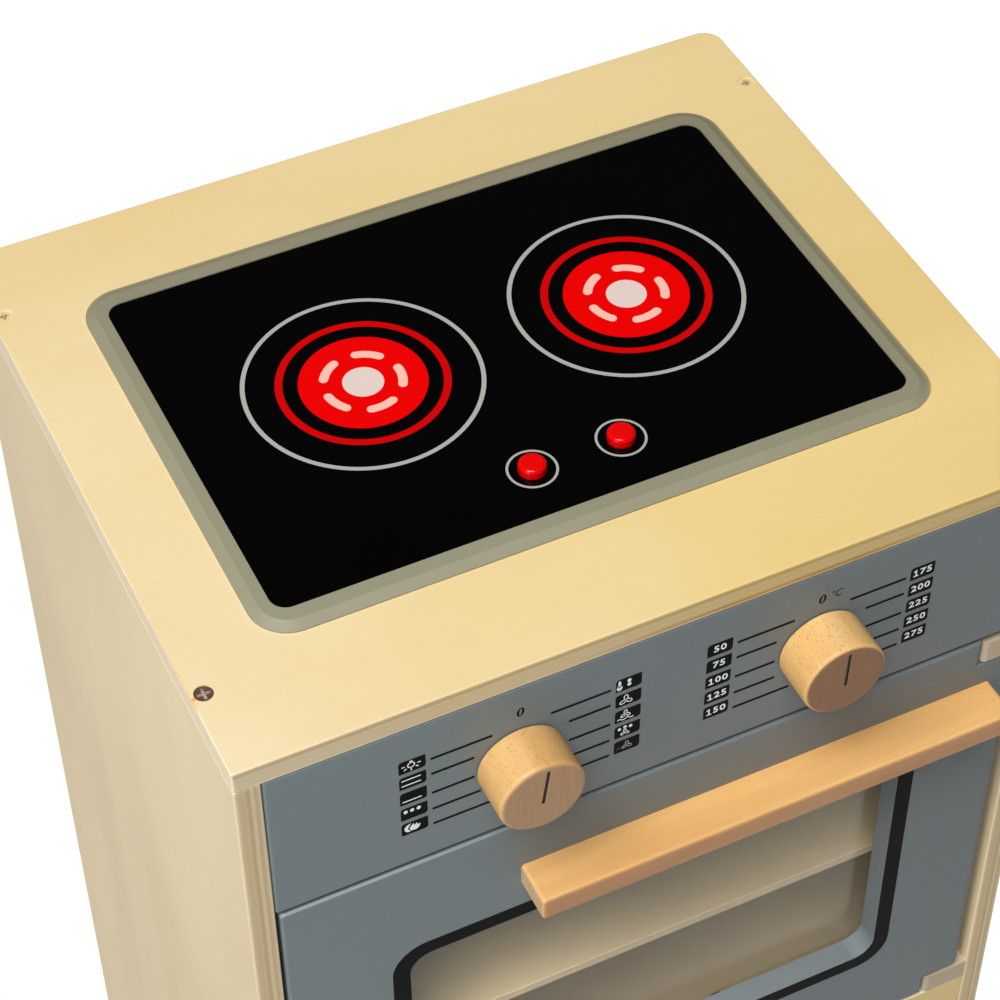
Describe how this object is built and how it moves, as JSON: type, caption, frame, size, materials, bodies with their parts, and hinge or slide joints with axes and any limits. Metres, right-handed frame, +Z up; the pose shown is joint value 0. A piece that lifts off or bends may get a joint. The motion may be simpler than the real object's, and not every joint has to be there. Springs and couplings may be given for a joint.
{
  "type": "toy oven",
  "caption": "Wooden toy oven with a natural plywood body, a painted door with a window and bar handle, turning knobs and a hob whose lit burners are worked by push buttons.",
  "frame": {"origin": "bottom centre of the whole object's bounding box, on the floor under the glides", "axes": "+Z up, -Y towards the door and the user, +X to the right as seen from the front"},
  "size_m": [0.4, 0.3624, 0.647],
  "materials": {
    "worktop_ply": "smooth clear-oiled birch plywood",
    "side_ply": "smooth birch plywood, layered edges",
    "inner_ply": "plain birch plywood",
    "hinge_wood": "smooth pale beech",
    "grey_paint": "satin slate-grey paint on plywood",
    "handle_beech": "oiled beech",
    "knob_beech": "oiled beech, end grain on the face",
    "clear_sheet": "clear acrylic sheet",
    "bezel_plastic": "satin grey-green moulding",
    "hob_black": "gloss black sheet, printed burner rings",
    "button_red": "gloss red",
    "screw_bronze": "dark bronze finish, cross recess",
    "zinc_steel": "bright zinc",
    "magnet_nickel": "nickel plated",
    "contact_brass": "plated spring strip",
    "nylon_white": "natural nylon",
    "tray_plastic": "black moulding",
    "diffuser_milk": "milky translucent",
    "board_green": "green solder mask",
    "battery_wrap": "plain wrapped round cells"
  },
  "bodies": {
    "cabinet": {"worktop": "worktop_ply", "side_panel_left": "side_ply", "side_panel_right": "side_ply", "front_rails": "side_ply", "base_panel": "inner_ply", "storage_panel": "inner_ply", "back_panel": "inner_ply", "oven_shelf": "inner_ply", "shelf_batten_left": "inner_ply", "shelf_batten_right": "inner_ply", "catch_block": "inner_ply", "frame_dowels": "inner_ply", "hinge_block_upper": "hinge_wood", "hinge_block_lower": "hinge_wood", "control_panel": "grey_paint", "hob_bezel": "bezel_plastic", "hob_plate": "hob_black", "worktop_screws": "screw_bronze", "batten_screws": "zinc_steel", "hinge_block_screws": "zinc_steel", "catch_screws": "zinc_steel", "tray_screws": "zinc_steel", "board_screws": "zinc_steel", "battery_cover_screw": "zinc_steel", "hinge_pin_upper": "zinc_steel", "hinge_pin_lower": "zinc_steel", "catch_magnet": "magnet_nickel", "battery_contacts": "contact_brass", "knob_left_bush": "nylon_white", "knob_right_bush": "nylon_white", "foot_glides": "nylon_white", "hob_tray": "tray_plastic", "battery_cover": "tray_plastic", "light_wells": "tray_plastic", "button_switches": "tray_plastic", "light_diffusers": "diffuser_milk", "burner_leds": "diffuser_milk", "circuit_board": "board_green", "batteries": "battery_wrap"},
    "door": {"door_panel": "grey_paint", "window_pane": "clear_sheet", "pane_screws": "zinc_steel", "handle_bar": "handle_beech", "handle_screws": "zinc_steel", "hinge_bush_upper": "nylon_white", "hinge_bush_lower": "nylon_white", "strike_plate": "zinc_steel", "strike_screw": "zinc_steel"},
    "left_knob": {"knob_left": "knob_beech", "knob_left_spindle": "zinc_steel", "knob_left_washer": "zinc_steel", "knob_left_nut": "zinc_steel"},
    "right_knob": {"knob_right": "knob_beech", "knob_right_spindle": "zinc_steel", "knob_right_washer": "zinc_steel", "knob_right_nut": "zinc_steel"},
    "left_button": {"button_left": "button_red", "button_left_plunger": "nylon_white"},
    "right_button": {"button_right": "button_red", "button_right_plunger": "nylon_white"}
  },
  "joints": [
    {"name": "door_hinge", "type": "hinge", "parent": "cabinet", "child": "door", "pos_m": [0.1782, -0.1518, 0.39], "axis": [0, 0, 1], "range_deg": [0, 95]},
    {"name": "knob_left_turn", "type": "hinge", "parent": "cabinet", "child": "left_knob", "pos_m": [-0.0737, -0.1578, 0.5811], "axis": [0, 1, 0], "continuous": true},
    {"name": "knob_right_turn", "type": "hinge", "parent": "cabinet", "child": "right_knob", "pos_m": [0.0715, -0.1578, 0.5811], "axis": [0, 1, 0], "continuous": true},
    {"name": "button_left_press", "type": "slide", "parent": "cabinet", "child": "left_button", "axis": [0, 0, -1], "range_m": [0, 0.0015], "stiffness_N_per_m": 300, "springref_m": -0.002},
    {"name": "button_right_press", "type": "slide", "parent": "cabinet", "child": "right_button", "axis": [0, 0, -1], "range_m": [0, 0.0015], "stiffness_N_per_m": 300, "springref_m": -0.002}
  ]
}
